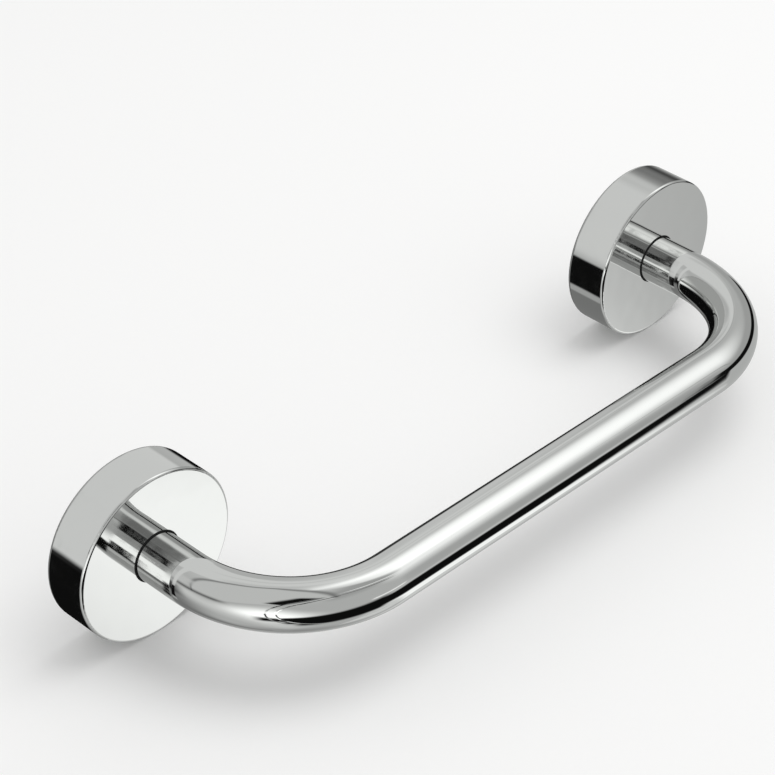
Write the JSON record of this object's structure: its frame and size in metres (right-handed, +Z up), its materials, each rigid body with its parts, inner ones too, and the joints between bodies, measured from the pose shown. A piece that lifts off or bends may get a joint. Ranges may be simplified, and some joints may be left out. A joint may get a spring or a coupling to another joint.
{
  "type": "grab bar",
  "caption": "Chrome grab bar for a bath or shower wall: a round tube bent twice into a wide U, ending in thick round rosettes that hide their wall plates and fixings.",
  "frame": {"origin": "on the wall plane, midway between the axes of the two rosettes", "axes": "+X along the bar, +Y into the wall, so the bar stands off towards -Y, +Z up"},
  "size_m": [0.375, 0.1026, 0.075],
  "materials": {
    "chrome_plate": "mirror-polished chrome plating",
    "black_seal": "matt black rubber",
    "turned_brass": "turned, bare",
    "screw_steel": "bright zinc plated",
    "plate_steel": "turned, satin"
  },
  "bodies": {
    "root": {"bar_tube": "chrome_plate", "left_rosette": "chrome_plate", "right_rosette": "chrome_plate", "left_seal_ring": "black_seal", "right_seal_ring": "black_seal", "left_end_insert": "turned_brass", "right_end_insert": "turned_brass", "left_clamp_screw": "screw_steel", "right_clamp_screw": "screw_steel", "left_lock_washer": "screw_steel", "right_lock_washer": "screw_steel", "left_wall_plate": "plate_steel", "right_wall_plate": "plate_steel", "left_grub_screw": "screw_steel", "right_grub_screw": "screw_steel"}
  },
  "joints": []
}
